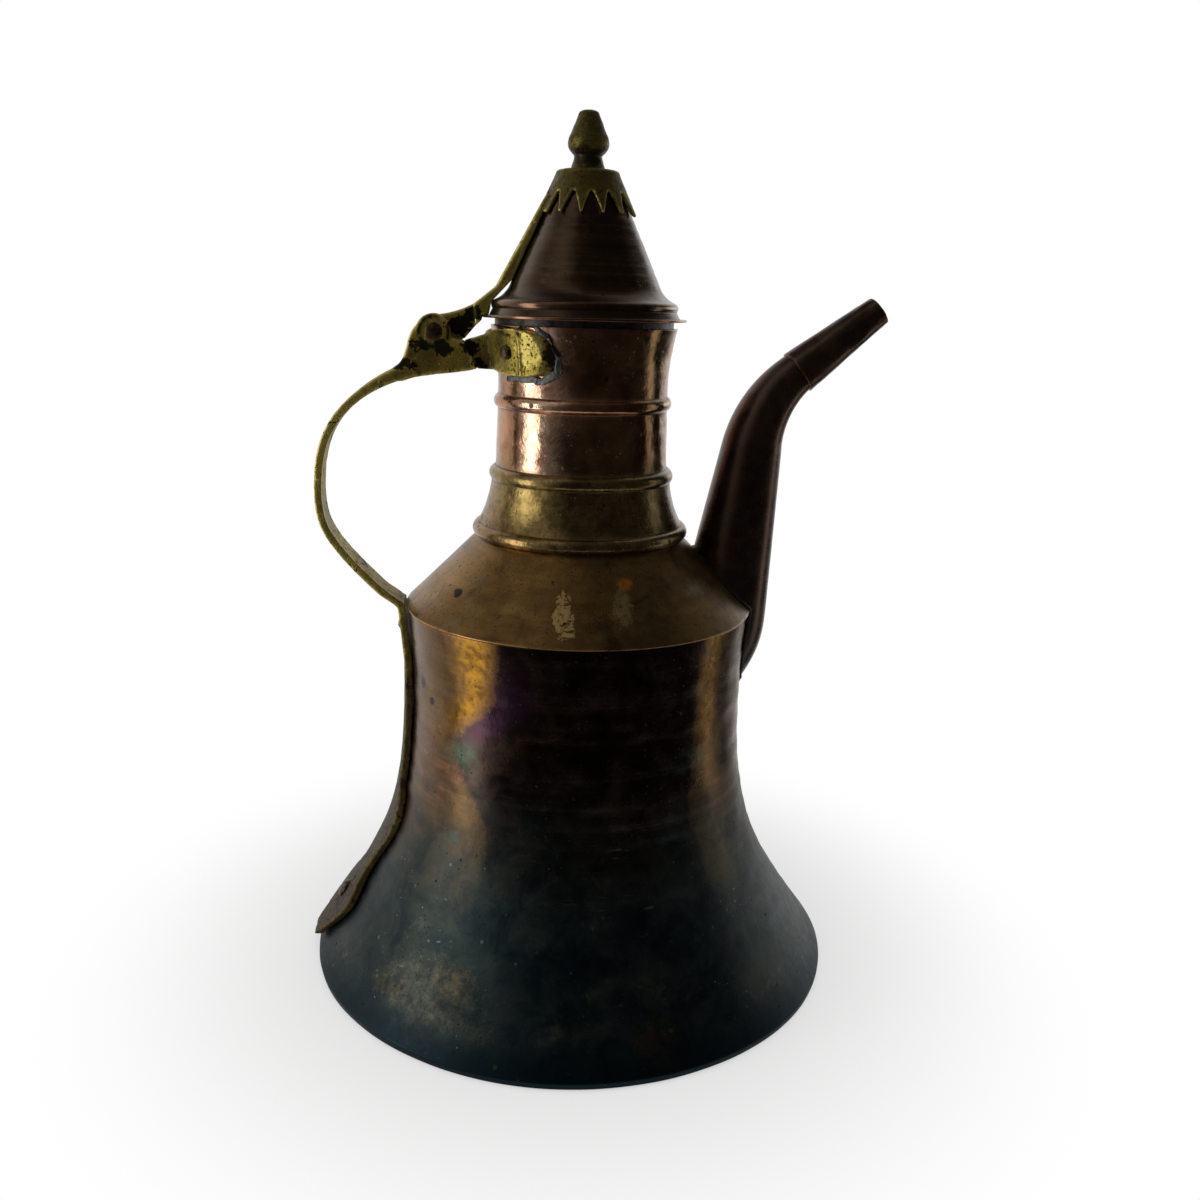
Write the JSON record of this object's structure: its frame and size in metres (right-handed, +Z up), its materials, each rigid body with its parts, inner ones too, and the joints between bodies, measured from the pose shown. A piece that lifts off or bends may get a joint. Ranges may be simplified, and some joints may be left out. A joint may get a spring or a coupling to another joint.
{
  "type": "coffee pot",
  "caption": "Bell-shaped copper coffee pot with ringed neck, bent spout, brass strap handle and a hinged conical lid with a toothed brass crown and finial.",
  "frame": {"origin": "middle of the flat base, on the pot's axis at the floor", "axes": "+Z up along the pot's axis, +X towards the spout, -X towards the handle and lid hinge"},
  "size_m": [0.2071, 0.1946, 0.3015],
  "materials": {
    "lower_copper": "dark heat-stained copper, blackened towards the foot",
    "base_copper": "dull scratched copper",
    "shoulder_copper": "golden brown tarnished copper",
    "neck_copper": "rubbed reddish copper",
    "spout_copper": "dark brown copper",
    "lid_copper": "red-brown copper",
    "brass": "worn cast brass, black in the pits",
    "rivet": "dark hammered copper rivets",
    "solder": "rough grey soft solder",
    "tinned": "dull tinned copper"
  },
  "bodies": {
    "pot": {"lower_body": "lower_copper", "bottom_plate": "base_copper", "shoulder": "shoulder_copper", "neck": "neck_copper", "spout_tube": "spout_copper", "spout_tip": "spout_copper", "spout_solder": "solder", "handle": "brass", "foot_rivet": "rivet", "neck_saddle": "brass", "saddle_rivets": "rivet", "saddle_solder": "solder", "hinge_pin": "rivet"},
    "lid": {"lid_cone": "lid_copper", "lid_plug": "tinned", "crown_strap": "brass", "finial": "brass", "finial_washer": "tinned"}
  },
  "joints": [
    {"name": "lid_hinge", "type": "hinge", "parent": "pot", "child": "lid", "pos_m": [-0.0516, 0, 0.2292], "axis": [0, -1, 0], "range_deg": [0, 120]}
  ]
}
